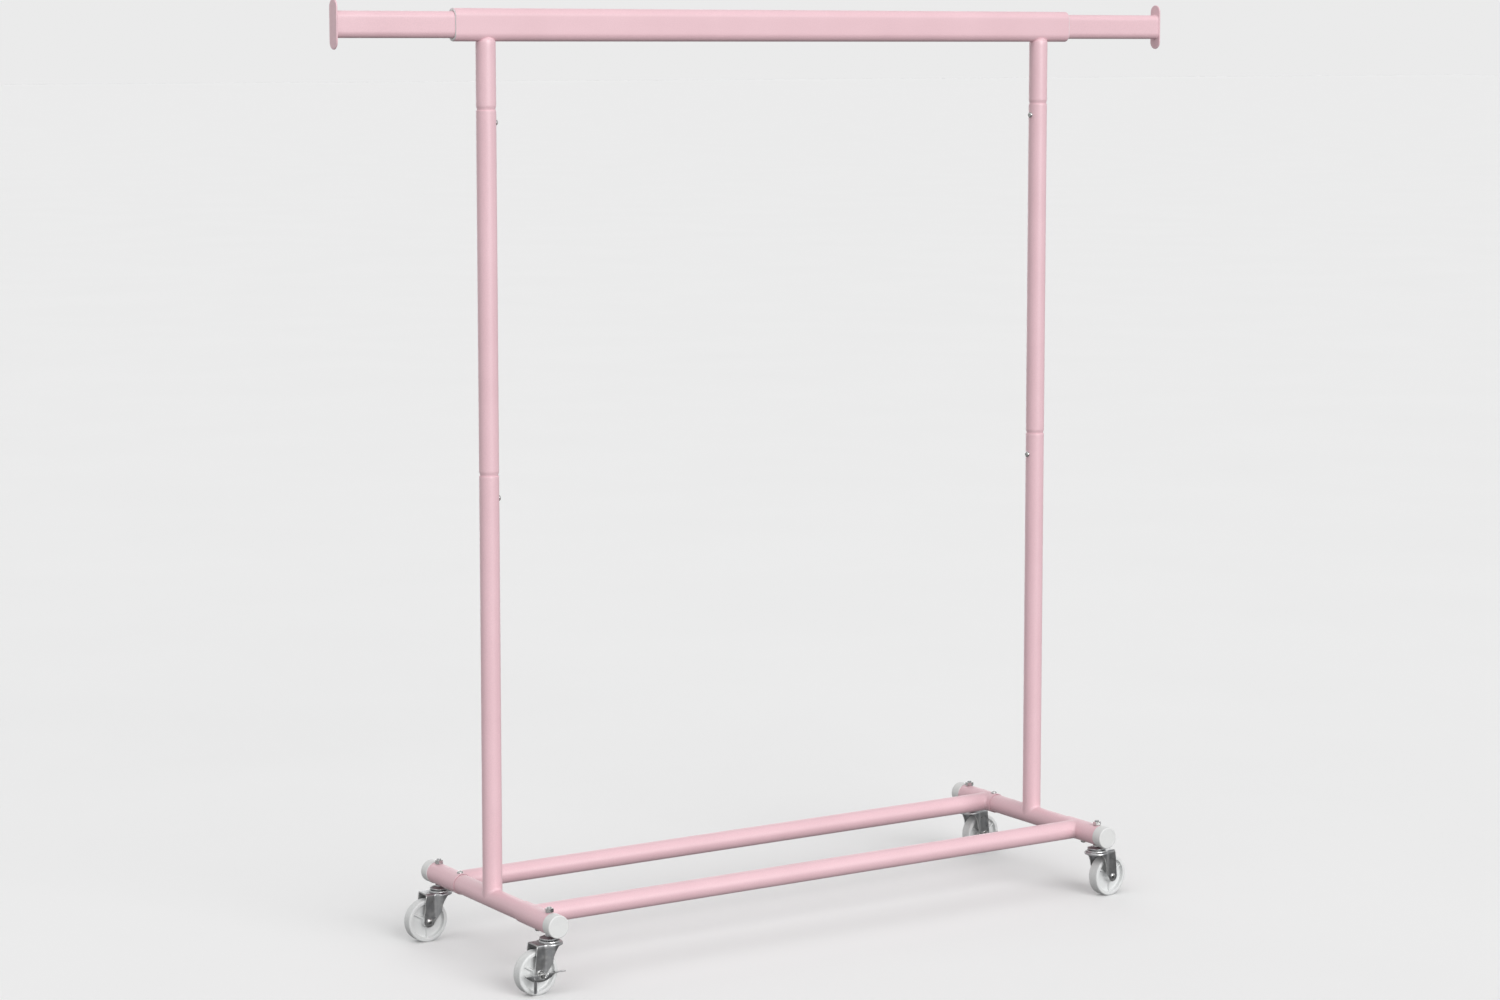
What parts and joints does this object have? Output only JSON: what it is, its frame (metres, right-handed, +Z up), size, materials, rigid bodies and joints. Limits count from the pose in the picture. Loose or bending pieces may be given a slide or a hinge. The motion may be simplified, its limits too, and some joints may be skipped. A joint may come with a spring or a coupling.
{
  "type": "rolling clothes rack",
  "caption": "Rolling clothes rack: a tubular frame on swivel casters carries a flat-oval rail with pull-out ends and end plates.",
  "frame": {"origin": "centre of the footprint, on the floor", "axes": "+X along the rail towards the end on the right when seen from the front, +Y to the back, +Z up"},
  "size_m": [1.676, 0.45, 1.6025],
  "materials": {
    "pink_coat": "satin pale pink powder coat",
    "white_plastic": "moulded, slightly matt",
    "nylon": "natural white nylon",
    "zinc_steel": "zinc plated pressed steel",
    "bright_steel": "bright nickel plated"
  },
  "bodies": {
    "frame": {"rail_sleeve": "pink_coat", "rail_stub_left": "pink_coat", "rail_stub_right": "pink_coat", "upright_mid_left": "pink_coat", "upright_mid_right": "pink_coat", "upright_lower_left": "pink_coat", "upright_lower_right": "pink_coat", "foot_tube_left": "pink_coat", "foot_tube_right": "pink_coat", "base_bar_front": "pink_coat", "base_bar_back": "pink_coat", "corner_sleeve_front_left": "pink_coat", "corner_sleeve_front_right": "pink_coat", "corner_sleeve_back_left": "pink_coat", "corner_sleeve_back_right": "pink_coat", "end_cap_front_left": "white_plastic", "end_cap_front_right": "white_plastic", "end_cap_back_left": "white_plastic", "end_cap_back_right": "white_plastic", "rail_bush_left": "white_plastic", "rail_bush_right": "white_plastic", "caster_stem_front_left": "zinc_steel", "caster_stem_front_right": "zinc_steel", "caster_stem_back_left": "zinc_steel", "caster_stem_back_right": "zinc_steel", "upright_screws": "bright_steel", "upright_thread_inserts": "bright_steel", "foot_screws": "bright_steel", "foot_thread_inserts": "bright_steel", "caster_nuts": "bright_steel"},
    "pull_out_left": {"rail_rod_left": "pink_coat", "end_plate_left": "pink_coat", "rod_guide_left": "white_plastic"},
    "pull_out_right": {"rail_rod_right": "pink_coat", "end_plate_right": "pink_coat", "rod_guide_right": "white_plastic"},
    "caster_front_left": {"caster_fork_front_left": "zinc_steel", "swivel_balls_front_left": "bright_steel", "axle_front_left": "bright_steel", "brake_pin_front_left": "bright_steel"},
    "wheel_body_front_left": {"wheel_front_left": "nylon"},
    "caster_front_right": {"caster_fork_front_right": "zinc_steel", "swivel_balls_front_right": "bright_steel", "axle_front_right": "bright_steel"},
    "wheel_body_front_right": {"wheel_front_right": "nylon"},
    "caster_back_left": {"caster_fork_back_left": "zinc_steel", "swivel_balls_back_left": "bright_steel", "axle_back_left": "bright_steel"},
    "wheel_body_back_left": {"wheel_back_left": "nylon"},
    "caster_back_right": {"caster_fork_back_right": "zinc_steel", "swivel_balls_back_right": "bright_steel", "axle_back_right": "bright_steel", "brake_pin_back_right": "bright_steel"},
    "wheel_body_back_right": {"wheel_back_right": "nylon"},
    "brake_front_left": {"brake_lever_front_left": "zinc_steel"},
    "brake_back_right": {"brake_lever_back_right": "zinc_steel"}
  },
  "joints": [
    {"name": "rail_slide_left", "type": "slide", "parent": "frame", "child": "pull_out_left", "axis": [1, 0, 0], "range_m": [0, 0.205]},
    {"name": "rail_slide_right", "type": "slide", "parent": "frame", "child": "pull_out_right", "axis": [-1, 0, 0], "range_m": [0, 0.205]},
    {"name": "swivel_front_left", "type": "hinge", "parent": "frame", "child": "caster_front_left", "pos_m": [-0.565, -0.193, 0.0875], "axis": [0, 0, 1], "continuous": true},
    {"name": "wheel_spin_front_left", "type": "hinge", "parent": "caster_front_left", "child": "wheel_body_front_left", "pos_m": [-0.59196, -0.19441, 0.0365], "axis": [-0.0523, 0.9986, 0], "continuous": true},
    {"name": "swivel_front_right", "type": "hinge", "parent": "frame", "child": "caster_front_right", "pos_m": [0.565, -0.193, 0.0875], "axis": [0, 0, 1], "continuous": true},
    {"name": "wheel_spin_front_right", "type": "hinge", "parent": "caster_front_right", "child": "wheel_body_front_right", "pos_m": [0.59182, -0.18985, 0.0365], "axis": [0.1167, -0.9932, 0], "continuous": true},
    {"name": "swivel_back_left", "type": "hinge", "parent": "frame", "child": "caster_back_left", "pos_m": [-0.565, 0.193, 0.0875], "axis": [0, 0, 1], "continuous": true},
    {"name": "wheel_spin_back_left", "type": "hinge", "parent": "caster_back_left", "child": "wheel_body_back_left", "pos_m": [-0.592, 0.193, 0.0365], "axis": [0, 1, 0], "continuous": true},
    {"name": "swivel_back_right", "type": "hinge", "parent": "frame", "child": "caster_back_right", "pos_m": [0.565, 0.193, 0.0875], "axis": [0, 0, 1], "continuous": true},
    {"name": "wheel_spin_back_right", "type": "hinge", "parent": "caster_back_right", "child": "wheel_body_back_right", "pos_m": [0.59196, 0.19441, 0.0365], "axis": [0.0523, -0.9986, 0], "continuous": true},
    {"name": "brake_flip_front_left", "type": "hinge", "parent": "caster_front_left", "child": "brake_front_left", "pos_m": [-0.59092, -0.21439, 0.0365], "axis": [-0.9986, -0.0523, 0], "range_deg": [0, 65]},
    {"name": "brake_flip_back_right", "type": "hinge", "parent": "caster_back_right", "child": "brake_back_right", "pos_m": [0.59301, 0.17444, 0.0365], "axis": [-0.9986, -0.0523, 0], "range_deg": [0, 65]}
  ]
}
